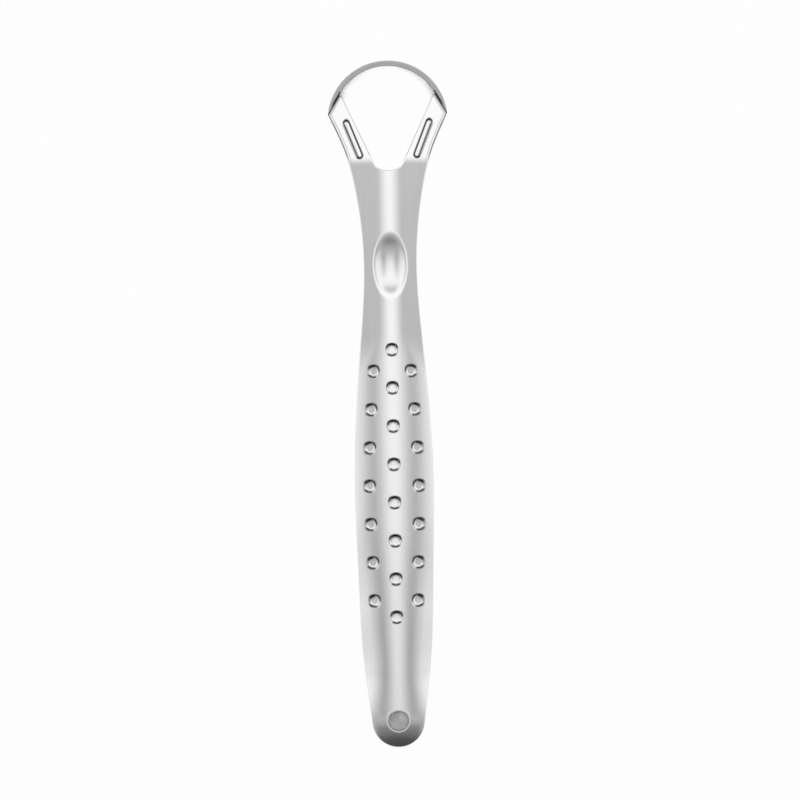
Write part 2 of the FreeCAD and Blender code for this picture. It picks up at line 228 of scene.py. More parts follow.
class PressForm:
    """Heights of the pressed sheet. Places count from the hang hole, towards the arch."""

    def __init__(self, handle, strip):
        self.handle, self.strip = handle, strip
        self.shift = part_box("handle")[0].y + TIP_RADIUS
        self.arch_centre = Vector((0.0, ARCH_PLACE + self.shift, 0.0))
        flare = strip.flare
        self.slant = (strip.height + strip.edge_chamfer * math.sin(flare)) / math.cos(flare)
        spread = (self.slant - strip.edge_chamfer) * math.sin(flare)
        arch_outer = ARCH_TOP_RADIUS + strip.gauge * math.cos(flare) + spread
        self.inner_corner = self.on_arch(ARCH_TOP_RADIUS, SEAM_START)
        self.outer_corner = self.on_arch(arch_outer, SEAM_END)
        tip_x, tip_y = self.inner_corner
        self.arm_start = strip.height + float(self.arm_fall(tip_x, tip_y, handle.sheet))
        self.bend_height = self.arm_start + BEND_RADIUS * (1 - math.cos(ARM_SLOPE))
        self.find_long_radius()
        self.hole_lean = math.asin(self.dome_y / GRIP_CREST)
        lean = math.atan((SIDE_STATIONS[0][1] - TIP_RADIUS) / SIDE_STATIONS[0][0])
        self.foot_y = -TIP_RADIUS * math.sin(lean)
        foot_x = TIP_RADIUS * math.cos(lean)
        stations = [(self.foot_y, foot_x), *SIDE_STATIONS, self.outer_corner[::-1]]
        run = self.outer_corner[1] - SIDE_STATIONS[-1][0]
        end_slope = (self.outer_corner[0] - SIDE_STATIONS[-1][1]) / run
        self.side = clamped_spline(*zip(*stations), math.tan(lean), end_slope)

    @staticmethod
    def on_arch(radius, angle):
        """Place in plan at an angle from the head of the arch."""
        return radius * math.sin(angle), ARCH_PLACE + radius * math.cos(angle)

    @staticmethod
    def arm_fall(x, y, depth):
        """Fall of an arm face below the crest at the end of the bend."""
        drop = section_drop(x, NECK_CREST, NECK_FLANK, 0.0) + depth / math.cos(NECK_FLANK)
        return math.tan(ARM_SLOPE) * (y - ARM_PLACE) + drop / math.cos(ARM_SLOPE)

    def find_long_radius(self):
        """Radius of the long arch that sets the end of the tip on the table."""
        low, high = LONG_RADIUS_RANGE
        inner = GRIP_CREST - self.handle.sheet
        for _ in range(HALVINGS):
            radius = (low + high) / 2
            lean = math.asin((BEND_PLACE - DOME_PLACE) / radius)
            crest = self.bend_height - radius * (1 - math.cos(lean))
            self.dome_y = DOME_PLACE + GRIP_CREST * math.sin(lean)
            self.dome_z = crest - GRIP_CREST * math.cos(lean)
            self.dome_lean = lean
            drop = math.sqrt(inner ** 2 - (self.dome_y + TIP_RADIUS) ** 2)
            if self.dome_z + drop < 0:
                low = radius
            else:
                high = radius
        self.long_radius = radius

    def half_width(self, y):
        """Half width in plan: round end, then the side curve."""
        y = np.asarray(y, float)
        round_end = np.sqrt(np.maximum(TIP_RADIUS ** 2 - y ** 2, 0.0))
        return np.where(y < self.foot_y, round_end, self.side(np.maximum(y, self.foot_y)))

    def base(self, x, y, depth):
        """Height of the plain sheet, depth under its outer face."""
        far = self.long_radius
        swell = FIELD_CHANGE * plateau(y, FIELD_PLACES) + TAIL_CHANGE * plateau(y, TAIL_PLACES)
        neck_lean = math.asin((BEND_PLACE - NECK_START) / far)
        grip_lean = math.asin((BEND_PLACE - GRIP_END) / far)
        lean = np.arcsin(np.clip((BEND_PLACE - y) / far, -1, 1))
        for _ in range(LEAN_ROUNDS):
            share = np.clip((lean - neck_lean) / (grip_lean - neck_lean), 0.0, 1.0)
            share = (1 - np.cos(np.pi * share)) / 2
            radius = NECK_CREST + (GRIP_CREST - NECK_CREST) * share + swell
            flank = NECK_FLANK + (GRIP_FLANK - NECK_FLANK) * share
            drop = section_drop(x, radius, flank, depth)
            lean = np.arcsin(np.clip((BEND_PLACE - y) / (far - drop), -1, 1))
        z = self.bend_height - far + (far - drop) * np.cos(lean)
        ball = GRIP_CREST - depth
        up = np.sqrt(np.maximum(ball ** 2 - x ** 2 - (y - self.dome_y) ** 2, 0.0))
        on_ball = np.arctan2(self.dome_y - y, up) > self.dome_lean
        z = np.where(on_ball, self.dome_z + up, z)
        drop = section_drop(x, NECK_CREST, NECK_FLANK, depth)
        reach = BEND_RADIUS - drop
        past = np.maximum(y - BEND_PLACE, 0.0)
        pivot = self.bend_height - BEND_RADIUS
        bent = pivot + np.sqrt(np.maximum(reach ** 2 - past ** 2, 0.0))
        fall = math.tan(ARM_SLOPE) * (y - ARM_PLACE) + drop / math.cos(ARM_SLOPE)
        in_bend = past < reach * math.sin(ARM_SLOPE)
        forked = np.where(in_bend, bent, self.arm_start - fall)
        return np.where(y > BEND_PLACE, forked, z)

    def crest(self, x, y):
        """Height of the plain sheet's outer face."""
        return self.base(x, y, 0.0)

    def crest_normal(self, x, y):
        """Unit normals of the plain sheet's outer face."""
        step = SLOPE_STEP
        slope_x = (self.crest(x + step, y) - self.crest(x - step, y)) / (2 * step)
        slope_y = (self.crest(x, y + step) - self.crest(x, y - step)) / (2 * step)
        out = np.stack([-slope_x, -slope_y, np.ones_like(slope_x)], axis=1)
        return out / np.linalg.norm(out, axis=1, keepdims=True)

    def arm_under(self, x, y):
        """Height of the lower face of an arm at one place."""
        return float(self.base(np.array([x]), np.array([y]), self.handle.sheet)[0])

    def thumb_rest(self, x, y, depth):
        """Height of the wheel-shaped bowl, thicker by depth."""
        h = self.handle
        half_wide, half_long = h.thumb_width / 2, h.thumb_length / 2
        side = h.thumb_depth - float(section_drop(half_wide, NECK_CREST, NECK_FLANK, 0.0))
        wheel = (half_long ** 2 / h.thumb_depth + h.thumb_depth) / 2
        lean = math.asin((BEND_PLACE - h.thumb_place) / self.long_radius)
        crest = self.bend_height - self.long_radius * (1 - math.cos(lean))
        y_mid = h.thumb_place - (wheel - h.thumb_depth) * math.sin(lean)
        z_mid = crest + (wheel - h.thumb_depth) * math.cos(lean)
        reach = np.abs(x) / (half_wide + depth / 2)
        rim = np.maximum(wheel + depth - side * reach ** h.thumb_flatness, 0.0)
        inside = (np.abs(x) < half_wide * 2) & (np.abs(y - y_mid) < half_long * 2)
        bowl = z_mid - np.sqrt(np.maximum(rim ** 2 - (y - y_mid) ** 2, 0.0))
        return np.where(inside, bowl, FAR_ABOVE)

    def groove_depth(self, x, y, depth):
        """How deep the round-ended groove of an arm is pressed below the face at depth."""
        h = self.handle
        half_wide, half_floor = h.groove_width / 2, h.groove_floor / 2
        run = h.groove_length / 2 - half_wide
        along, across = self.groove_frame(np.abs(x), y)
        past = np.maximum(np.abs(along) - run, 0.0)
        away = np.hypot(past, across) - depth * GROOVE_SPREAD
        wall = rise(away, half_floor, half_wide)
        return np.where(y > BEND_PLACE, h.groove_depth * (1 - wall), 0.0)

    def groove_frame(self, x, y):
        """Places along and across the groove of the right arm."""
        h = self.handle
        ahead = math.sin(h.groove_turn), math.cos(h.groove_turn)
        dx, dy = x - h.groove_x, y - h.groove_y
        return dx * ahead[0] + dy * ahead[1], dx * ahead[1] - dy * ahead[0]

    def dot_places(self):
        """Middles of the press dots: one row on the crest, one beside each edge."""
        h = self.handle
        places = [(0.0, h.dot_start + h.dot_pitch * row) for row in range(h.dot_count)]
        for row in range(h.dot_count - 1):
            y = h.dot_start + h.dot_lead + h.dot_pitch * row
            x = float(self.half_width(y)) - h.dot_margin
            places += [(-x, y), (x, y)]
        return places


# Mesh helpers

def ring_angles(di, dj):
    """Ring number and direction of grid steps counted from a middle vertex."""
    ring = np.maximum(np.abs(di), np.abs(dj))
    along = np.maximum(ring, 1)
    quarter = math.pi / 4
    flat = np.abs(dj) >= np.abs(di)
    low = -2 * quarter + quarter * di / along
    high = 2 * quarter - quarter * di / along
    right = quarter * dj / along
    left = 4 * quarter - quarter * dj / along
    angle = np.where(flat, np.where(dj < 0, low, high), np.where(di > 0, right, left))
    return ring, angle


def turn_about_z(angle):
    """Matrix of a turn in plan."""
    return Matrix.Rotation(angle, 3, "Z")


def mesh_from(name, bm, material):
    """Turn a bmesh into a mesh of one material."""
    mesh = bpy.data.meshes.new(name)
    bm.to_mesh(mesh)
    bm.free()
    mesh.materials.append(material)
    return mesh


def add_object(name, data):
    """Put a new object into the scene, at the origin."""
    made = bpy.data.objects.new(name, data)
    bpy.context.scene.collection.objects.link(made)
    return made


def finish_piece(name, bm, material, node):
    """Turn a bmesh into a smooth piece that stands for a CAD node."""
    mesh = mesh_from(name, bm, material)
    mesh.shade_smooth()
    piece = add_object(name, mesh)
    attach(piece, BODY)
    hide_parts(node)
    return piece


def round_edges(piece, width, segments):
    """Round the sharp edges of a piece."""
    bevel = piece.modifiers.new("edge_rounding", "BEVEL")
    bevel.width = width
    bevel.segments = segments
    bevel.limit_method = "ANGLE"
    bevel.angle_limit = EDGE_ANGLE
    bevel.use_clamp_overlap = False


# The handle

def tip_plan(form, i, j):
    """Plan of the rows round the hang hole: rings that open from hole to outline."""
    ring, angle = ring_angles(i - HALF, j - HALF)
    along = np.maximum(ring, 1)
    hole = form.handle.hole_d / 2
    sag = GRIP_CREST - math.sqrt(GRIP_CREST ** 2 - hole ** 2)
    hole_x = hole * np.cos(angle)
    hole_y = hole * math.cos(form.hole_lean) * np.sin(angle) + sag * math.sin(form.hole_lean)
    corner = TIP_RADIUS * math.sin(math.pi / 4)
    t_x, t_y = (i - HALF) / along, (j - HALF) / along
    side_y = -corner + (TIP_ZONE_END + corner) * (t_y + 1) / 2
    side_x = form.half_width(side_y) * np.sign(i - HALF)
    flat = np.abs(j - HALF) >= np.abs(i - HALF)
    low = flat & (j < HALF)
    high = flat & (j >= HALF)
    top_x = t_x * float(form.half_width(TIP_ZONE_END))
    out_x = np.where(low, TIP_RADIUS * np.cos(angle), np.where(high, top_x, side_x))
    out_y = np.where(low, TIP_RADIUS * np.sin(angle), np.where(high, TIP_ZONE_END, side_y))
    share = (ring - HOLE_RING) / (HALF - HOLE_RING)
    return hole_x + (out_x - hole_x) * share, hole_y + (out_y - hole_y) * share, share


def body_plan(form, i, j):
    """Plan of the rows from the tip to the crotch of the fork."""
    y = TIP_ZONE_END + ROW_GAP * (j - TIP_ROWS)
    u = (i - HALF) / HALF
    wide = form.half_width(y)
    near = rise(y, FORK_PLACE - CROTCH_APPROACH, FORK_PLACE)
    knee = CROTCH_COLUMN / HALF
    hat = np.where(np.abs(u) < knee, np.abs(u) / knee, (1 - np.abs(u)) / (1 - knee))
    x = u * wide + np.sign(u) * (CROTCH_HALF_WIDTH - knee * wide) * hat * near
    dip = CROTCH_SAG * np.maximum(1 - (x / CROTCH_HALF_WIDTH) ** 2, 0.0)
    return x, y - dip * near


def arm_plan(form, i, j):
    """Plan of the two fork arms, from the crotch to the seam."""
    v = (j - TIP_ROWS - BODY_ROWS) / ARM_ROWS
    t = (np.abs(i - HALF) - CROTCH_COLUMN) / ARM_COLUMNS
    start = np.array([CROTCH_HALF_WIDTH, FORK_PLACE])
    end = np.array(form.inner_corner)
    in_x = start[0] + (end[0] - start[0]) * v
    in_y = start[1] + (end[1] - start[1]) * v
    out_y = start[1] + (form.outer_corner[1] - start[1]) * v
    out_x = form.half_width(out_y)
    inside = form.groove_frame(in_x, in_y)[1]
    outside = form.groove_frame(out_x, out_y)[1]
    middle_t = inside / (inside - outside)
    band = GROOVE_BAND / np.hypot(out_x - in_x, out_y - in_y)
    s1, s2 = (count / ARM_COLUMNS for count in GROOVE_COLUMNS)
    t1, t2 = middle_t - band, middle_t + band
    before = t * t1 / s1
    between = t1 + (t - s1) * (t2 - t1) / (s2 - s1)
    beyond = t2 + (t - s2) * (1 - t2) / (1 - s2)
    gathered = np.where(t < s1, before, np.where(t > s2, beyond, between))
    t = t + (gathered - t) * plateau(v, GATHER_PLACES)
    x = in_x + (out_x - in_x) * t
    y = in_y + (out_y - in_y) * t
    away = np.hypot(x - end[0], y - end[1])
    middle = (start + np.array(form.outer_corner)) / 2 - end
    middle /= np.linalg.norm(middle)
    pull = CORNER_PULL * np.maximum(1 - away / CORNER_REACH, 0.0) ** 2
    return (x + middle[0] * pull) * np.sign(i - HALF), y + middle[1] * pull


def ring_dots(form, i, j, x, y):
    """Draw the grid into rings round every press dot; returns depth and crease there."""
    h = form.handle
    top, floor = h.dot_d / 2, h.dot_floor_d / 2
    depth, crease = np.zeros_like(x), np.zeros_like(x)
    for dot_x, dot_y in form.dot_places():
        column = HALF + round(HALF * dot_x / float(form.half_width(dot_y)))
        row = TIP_ROWS + round((dot_y - TIP_ZONE_END) / ROW_GAP)
        ring, angle = ring_angles(i - column, j - row)
        near = ring < len(DOT_RING_SHARES)
        ring, angle = ring[near].astype(int), angle[near]
        radius = np.array(DOT_RING_SHARES)[ring] * top
        hold = np.array(DOT_RING_HOLD)[ring]
        lay = math.sqrt(1 - (dot_x / GRIP_CREST) ** 2)
        ring_x = dot_x + radius * np.cos(angle) * lay
        ring_y = dot_y + radius * np.sin(angle)
        x[near] += (ring_x - x[near]) * hold
        y[near] += (ring_y - y[near]) * hold
        away = np.hypot((x[near] - dot_x) / lay, y[near] - dot_y)
        wall = (top - away) / (top - floor)
        wall = smooth_min(smooth_max(wall, 0.0, h.dot_rim), 1.0, h.dot_fillet)
        depth[near] = np.maximum(depth[near], wall * h.dot_depth)
        height = np.sin(angle + DOT_SHADE_TURN * np.sign(dot_x))
        arcs = rise(height, *DOT_UPPER_ARC), rise(-height, *DOT_LOWER_ARC), np.ones_like(height)
        for shares, arc in zip(DOT_SHADES, arcs):
            crease[near] = np.maximum(crease[near], np.array(shares)[ring] * arc)
    return depth, crease


def grid_of_handle():
    """Flat grid with its columns and rows noted; hole and crotch are left open."""
    rows = TIP_ROWS + BODY_ROWS + ARM_ROWS
    bm = bmesh.new()
    bmesh.ops.create_grid(bm, x_segments=COLUMNS, y_segments=rows, size=1.0)
    layers = bm.verts.layers.float
    for name in GRID_LAYERS + FINISH_LAYERS:
        layers.new(name)
    column, row = (layers[name] for name in GRID_LAYERS)
    for vert in bm.verts:
        vert[column] = round((vert.co.x + 1) / 2 * COLUMNS)
        vert[row] = round((vert.co.y + 1) / 2 * rows)
    open_faces = []
    for face in bm.faces:
        middle = face.calc_center_median()
        i = (middle.x + 1) / 2 * COLUMNS - HALF
        j = (middle.y + 1) / 2 * rows
        in_hole = max(abs(i), abs(j - HALF)) < HOLE_RING
        in_crotch = j > TIP_ROWS + BODY_ROWS and abs(i) < CROTCH_COLUMN
        if in_hole or in_crotch:
            open_faces.append(face)
    bmesh.ops.delete(bm, geom=open_faces, context="FACES")
    return bm


def build_handle(form, material):
    """Lay the grid out in plan, lift it to the sheet's outer face and give it its gauge."""
    h = form.handle
    bm = grid_of_handle()
    layers = bm.verts.layers.float
    column, row = (layers[name] for name in GRID_LAYERS)
    polish, pressed, crease, bowl, ground = (layers[name] for name in FINISH_LAYERS)
    verts = list(bm.verts)
    i = np.array([vert[column] for vert in verts])
    j = np.array([vert[row] for vert in verts])
    tip = j <= TIP_ROWS
    arms = j > TIP_ROWS + BODY_ROWS
    body = ~tip & ~arms
    x, y, hole_share = (np.zeros_like(i) for _ in range(3))
    x[tip], y[tip], hole_share[tip] = tip_plan(form, i[tip], j[tip])
    x[body], y[body] = body_plan(form, i[body], j[body])
    x[arms], y[arms] = arm_plan(form, i[arms], j[arms])
    dots, crease_shaded = ring_dots(form, i, j, x, y)

    crest = form.crest(x, y)
    z = smooth_min(crest, form.thumb_rest(x, y, 0.0), h.thumb_rounding) - SKIN
    in_bowl = rise(crest - z, 0.0, h.thumb_depth * BOWL_RIM)
    out = form.crest_normal(x, y)
    sunk = dots + form.groove_depth(x, y, 0.0)
    top = np.stack([x, y + form.shift, z], axis=1) - out * sunk[:, None]

    step_in = h.sheet * math.tan(form.hole_lean) * (1 - hole_share)
    below_y = y + np.where(tip, step_in, 0.0)
    below = form.base(x, below_y, h.sheet)
    below = smooth_min(below, form.thumb_rest(x, below_y, h.sheet), h.thumb_rounding)
    below -= form.groove_depth(x, below_y, h.sheet) / out[:, 2]
    under = np.stack([x, below_y + form.shift, below], axis=1)

    for k, vert in enumerate(verts):
        vert.co = top[k]
    rim = [vert for vert in verts if vert.is_boundary]
    tree = KDTree(len(rim))
    for k, vert in enumerate(rim):
        tree.insert(vert.co, k)
    tree.balance()
    for k, vert in enumerate(verts):
        vert[polish] = math.exp(-tree.find(vert.co)[2] / h.edge_wear)
        # painted shade in the dots and grooves, by their depth
        vert[pressed] = min(sunk[k] / h.dot_depth, 1.0)
        vert[bowl] = in_bowl[k]
        # painted shade on the hang hole's edge ring, a painted highlight on the rings beyond
        hole_ring = round(hole_share[k] * (HALF - HOLE_RING)) if tip[k] else HALF
        vert[crease] = HOLE_EDGE_SHADE if hole_ring == 0 else crease_shaded[k]
        vert[ground] = 1.0 if hole_ring in HIGHLIGHT_RINGS else 0.0

    place = {(vert[column], vert[row]): k for k, vert in enumerate(verts)}
    made = bmesh.ops.extrude_face_region(bm, geom=list(bm.faces))["geom"]
    for vert in made:
        if isinstance(vert, bmesh.types.BMVert):
            vert.co = under[place[(vert[column], vert[row])]]
            vert[pressed] = vert[crease] = vert[ground] = 0.0
    bmesh.ops.recalc_face_normals(bm, faces=list(bm.faces))
    for name in GRID_LAYERS:
        layers.remove(layers[name])
    piece = finish_piece("pressed_handle", bm, material, "handle")
    round_edges(piece, h.edge_rounding, HANDLE_EDGE_SEGMENTS)


# The scraping strip

def strip_section(bm, form):
    """Upright section of the strip at the head of the arch, nose rounded."""
    s = form.strip
    flare = s.flare
    down = Vector((0.0, math.sin(flare), -math.cos(flare)))
    out = Vector((0.0, math.cos(flare), math.sin(flare)))
    inner_top = form.arch_centre + Vector((0.0, ARCH_TOP_RADIUS, s.height))
    inner_low = inner_top + down * form.slant
    outer_low = inner_low + out * s.gauge
    outer_top = inner_top + Vector((0.0, s.gauge / math.cos(flare), 0.0))
    corners = [bm.verts.new(at) for at in (inner_top, inner_low, outer_low, outer_top)]
    bm.faces.new(corners)
    bmesh.ops.bevel(bm, geom=corners[1:3], offset=s.gauge * NOSE_ROUNDING,
                    offset_type="OFFSET", affect="VERTICES", segments=NOSE_SEGMENTS,
                    profile=0.5, material=-1)
    long_sides = [edge for edge in bm.edges if edge.calc_length() > s.height / 2]
    bmesh.ops.subdivide_edges(bm, edges=long_sides, cuts=STRIP_WALL_CUTS)


def build_strip(form, material):
    """Spin the section round the arch, then lift its ends to the arms."""
    s = form.strip
    bm = bmesh.new()
    strip_section(bm, form)
    start = list(bm.verts) + list(bm.edges) + list(bm.faces)
    bmesh.ops.rotate(bm, verts=list(bm.verts), cent=form.arch_centre,
                     matrix=turn_about_z(SEAM_END))
    bmesh.ops.spin(bm, geom=start, cent=form.arch_centre, axis=(0, 0, 1),
                   angle=-2 * SEAM_END, steps=STRIP_STEPS, use_duplicate=False)
    bmesh.ops.recalc_face_normals(bm, faces=list(bm.faces))
    lift_start = SEAM_START - STRIP_LIFT
    for vert in bm.verts:
        x, y = vert.co.x, vert.co.y - form.shift
        angle = math.atan2(abs(x), y - ARCH_PLACE)
        if vert.co.z < s.height - TOP_SLACK or angle < lift_start:
            continue
        share = float(rise(angle, lift_start, SEAM_START))
        lift = (form.arm_under(abs(x), y) - s.seam_gap - vert.co.z) * share
        reach = math.hypot(x, y - ARCH_PLACE)
        scale = (reach - lift * math.tan(s.flare)) / reach
        vert.co = (x * scale, ARCH_PLACE + (y - ARCH_PLACE) * scale + form.shift,
                   vert.co.z + lift)
    piece = finish_piece("scraping_strip", bm, material, "scraper_band")
    round_edges(piece, s.edge_rounding, STRIP_EDGE_SEGMENTS)


# The weld beads

def build_beads(form, beads, material):
    """Two rippled beads in the corner between the strip's inner wall and the arms."""
    s = form.strip
    centre = form.arch_centre
    arc = beads.end - beads.start
    bm = bmesh.new()
    for side in (-1, 1):
        ring = bmesh.ops.create_circle(bm, cap_ends=True, segments=BEAD_SIDES, radius=1.0)
        ring = ring["verts"]
        for vert in ring:
            across, up = vert.co.x * beads.leg, vert.co.y * beads.leg
            vert.co = centre + Vector((0.0, ARCH_TOP_RADIUS + across, s.height + up))
        bmesh.ops.rotate(bm, verts=ring, cent=centre, matrix=turn_about_z(-side * beads.start))
        faces = list({face for vert in ring for face in vert.link_faces})
        edges = list({edge for vert in ring for edge in vert.link_edges})
        bmesh.ops.spin(bm, geom=ring + edges + faces, cent=centre, axis=(0, 0, 1),
                       angle=-side * arc, steps=BEAD_STEPS)
    bmesh.ops.recalc_face_normals(bm, faces=list(bm.faces))
    for vert in bm.verts:
        away = vert.co - centre
        angle = math.atan2(abs(away.x), away.y)
        across = (math.hypot(away.x, away.y) - ARCH_TOP_RADIUS) / beads.leg - beads.inset
        up = (away.z - s.height) / beads.leg - beads.inset
        share = (angle - beads.start) / arc
        ripple = 1 + beads.ripple * math.sin(share * beads.ripple_count * 2 * math.pi)
        taper = math.sqrt(max(1 - (2 * share - 1) ** BEAD_TAPER_POWER, BEAD_END_SHARE))
        size = beads.leg * beads.fullness * ripple * taper
        under = form.arm_under(*form.on_arch(ARCH_TOP_RADIUS, angle))
        wall = ARCH_TOP_RADIUS - (under - s.height) * math.tan(s.flare)
        reach = wall + across * size
        vert.co = centre + Vector((math.copysign(reach * math.sin(angle), away.x),
                                   reach * math.cos(angle), under + up * size))
    finish_piece("joint_beads", bm, material, "weld_beads")


# Materials

class Wire:
    """A node socket that takes part in sums: each sum adds a Math node."""

    def __init__(self, bench, socket):
        self.bench, self.socket = bench, socket

    def math(self, operation, *values):
        """Add one Math node on these values."""
        return self.bench.node("ShaderNodeMath", {"operation": operation},
                               dict(enumerate(values)))

    def __add__(self, other):
        return self.math("ADD", self, other)

    def __sub__(self, other):
        return self.math("SUBTRACT", self, other)

    def __mul__(self, other):
        return self.math("MULTIPLY", self, other)

    def __rsub__(self, other):
        return self.math("SUBTRACT", other, self)

    def __abs__(self):
        return self.math("ABSOLUTE", self)

    __radd__ = __add__
    __rmul__ = __mul__

    def most(self, other):
        """The greater of the two."""
        return self.math("MAXIMUM", self, other)

    def root(self):
        """Square root."""
        return self.math("SQRT", self)

    def step(self, low, high):
        """Smooth step, 0 at low and 1 at high."""
        return self.bench.node("ShaderNodeMapRange", {"interpolation_type": "SMOOTHSTEP"},
                               {"Value": self, "From Min": low, "From Max": high})


class Bench:
    """Builds one node tree."""

    def __init__(self, owner):
        owner.use_nodes = True
        self.tree = owner.node_tree
        self.tree.nodes.clear()

    def node(self, kind, settings=None, sockets=None, out=0):
        """Add a node: its settings first, then the values or links of its sockets."""
        node = self.tree.nodes.new(kind)
        for key, value in (settings or {}).items():
            if key == "stops":
                ramp = node.color_ramp
                while len(ramp.elements) < len(value):
                    ramp.elements.new(0.5)
                for element, (position, grey) in zip(ramp.elements, value):
                    element.position = position
                    element.color = (grey, grey, grey, 1.0)
            else:
                setattr(node, key, value)
        for key, value in (sockets or {}).items():
            if isinstance(value, Wire):
                self.tree.links.new(value.socket, node.inputs[key])
            else:
                node.inputs[key].default_value = value
        return Wire(self, node.outputs[out]) if node.outputs else node

    def axes(self, vector):
        """The three parts of a vector."""
        split = self.node("ShaderNodeSeparateXYZ", {}, {0: vector})
        return [Wire(self, socket) for socket in split.socket.node.outputs]

    def mark(self, name):
        """A mark of the finish that the mesh carries."""
        return self.node("ShaderNodeAttribute", {"attribute_name": name}, out="Fac")

    def noise(self, place, scale, detail, roughness):
        """A noise over these places."""
        return self.node("ShaderNodeTexNoise", {}, {
            "Vector": place, "Scale": scale, "Detail": detail, "Roughness": roughness})

    def ray(self, kind):
        """1 for rays of one kind."""
        return self.node("ShaderNodeLightPath", out=kind)

    def mix(self, factor, first, second):
        """Mix of two colours."""
        return self.node("ShaderNodeMix", {"data_type": "RGBA"},
                         {0: factor, 6: first, 7: second}, out=2)


def colour(rgb):
    """Colour of a socket."""
    return (*rgb, 1.0)


WHITE = colour((1.0, 1.0, 1.0))

# Painted shade lines of a groove: width on the outer wall, more on the inner wall and at
# the ends, more at the foot, as shares of the crease shade measure; darkness in the same order
GROOVE_LINE_WIDTHS = (0.4, 0.85, 0.2)
GROOVE_LINE_DARK = (0.2, 0.7)
GROOVE_LINE_CORE = 0.3
GROOVE_MIDDLE = 0.1 * MM
GROOVE_FOOT = 0.3 * MM

# Painted shade of the gap at the arms' seam, and a darkening beside it: darkness, where it
# starts to fade
SEAM_DARK = 0.96
SEAM_FADE = (0.2 * MM, 0.44 * MM)
SEAM_SIDE_DARK = 0.55
SEAM_SIDE_FADE = 0.2 * MM

# Painted shade of the seam gap on the strip: its full part, and depths below the top where it
# ends
STRIP_LINE_CORE = 0.6
STRIP_LINE_DEPTHS = (0.9 * MM, 0.3 * MM)

# Painted shade: a dark double line along the arms' outer edges, placed by the edge polish
EDGE_LINE = (0.3, 0.7)
EDGE_LINE_DARK = 0.75
SECOND_EDGE_SHADE = (0.13, 0.2, 0.24, 0.33)
SECOND_EDGE_SHADE_DARK = 0.4
EDGE_SIDE = 1.0 * MM  # how far outside the groove's middle the lines are full
FORK_FADE = 2.5 * MM

# Brushing: scale of the grain along the axes; scale, detail and roughness of noises
HANDLE_BRUSHING = (9000.0, 120.0, 9000.0)
STRIP_BRUSHING = (30.0, 6000.0)
BEAD_BRUSHING = (2500.0, 2500.0, 2500.0)
GRAIN_NOISE = (1.0, 4.0, 0.6)
BROAD_NOISE = (0.16, 3.0, 0.6)
CLOUD_NOISE = (90.0, 3.0, 0.55)
CLOUD_TONE = 0.08
STREAK_ROUGHNESS = 0.35
CLOUD_ROUGHNESS = 0.9
RELIEF_DEPTH = 0.02 * MM

# How much each mark changes the tone and the roughness: edge polish is wear, the pressed mark
# paints shade into the dots and grooves, and the hang hole's rim mark paints a highlight there
TONE_MARKS = {"edge_polish": 0.12, "pressed": -0.06, "ground": 1.0}
ROUGHNESS_MARKS = {"edge_polish": -0.05, "pressed": 0.03, "bowl": 0.12, "ground": 0.6}


def groove_shade_lines(form, along, across):
    """Dark creases along the walls of the grooves: the inner wall's is the wider one."""
    h = form.handle
    run = (h.groove_length - h.groove_width) / 2
    past = (abs(along) - run).most(0.0)
    away = (past * past + across * across).root()
    off = abs(away - h.groove_line / 2)
    ends = past.step(0.0, h.groove_line / 4)
    inner = across.step(GROOVE_MIDDLE, -GROOVE_MIDDLE)
    foot = along.step(-run, -run - GROOVE_FOOT)
    strong = inner.most(ends)
    outer_width, more_width, foot_width = GROOVE_LINE_WIDTHS
    wide = h.crease * (outer_width + more_width * strong + foot_width * foot)
    outer_dark, more_dark = GROOVE_LINE_DARK
    return (1.0 - off.step(wide * GROOVE_LINE_CORE, wide)) * (outer_dark + more_dark * strong)


def seam_distance(form, x, y):
    """Distance in plan from the line between the corners of an arm's end."""
    (x0, y0), (x1, y1) = form.inner_corner, form.outer_corner
    run = math.hypot(x1 - x0, y1 - y0)
    ahead = (x1 - x0) / run, (y1 - y0) / run
    dx, dy = abs(x) - x0, y - (y0 + form.shift)
    along = dx * ahead[0] + dy * ahead[1]
    across = dx * ahead[1] - dy * ahead[0]
    past = (abs(along - run / 2) - run / 2).most(0.0)
    return (past * past + across * across).root()


def handle_shade_lines(form, place):
    """Creases of dots and grooves, the weld line and the outline of the arms."""
    x, y = place[:2]
    bench = x.bench
    away = seam_distance(form, x, y)
    # painted shade at the seam gap, and a darkening of the arms beside it
    seam = (1.0 - away.step(*SEAM_FADE)) * SEAM_DARK
    tint = (1.0 - away.step(SEAM_SIDE_FADE, form.handle.seam_darkening)) * SEAM_SIDE_DARK
    along, across = form.groove_frame(abs(x), y - form.shift)
    worn = bench.mark("edge_polish")
    start, full, still, end = SECOND_EDGE_SHADE
    second_shade = worn.step(start, full) - worn.step(still, end)
    edge = (worn.step(*EDGE_LINE) * EDGE_LINE_DARK).most(second_shade * SECOND_EDGE_SHADE_DARK)
    fork = y.step(BEND_PLACE + form.shift, BEND_PLACE + form.shift + FORK_FADE)
    rim = edge * across.step(0.0, EDGE_SIDE) * fork
    lines = groove_shade_lines(form, along, across).most(bench.mark("crease"))
    return seam.most(tint).most(rim).most(lines)


def strip_seam_shade(form, place):
    """The dark weld line beside the arms, on the upper edge only."""
    x, y, z = place
    wide = form.strip.seam_shade_width
    line = 1.0 - seam_distance(form, x, y).step(wide * STRIP_LINE_CORE, wide)
    return line * z.step(*(form.strip.height - depth for depth in STRIP_LINE_DEPTHS))


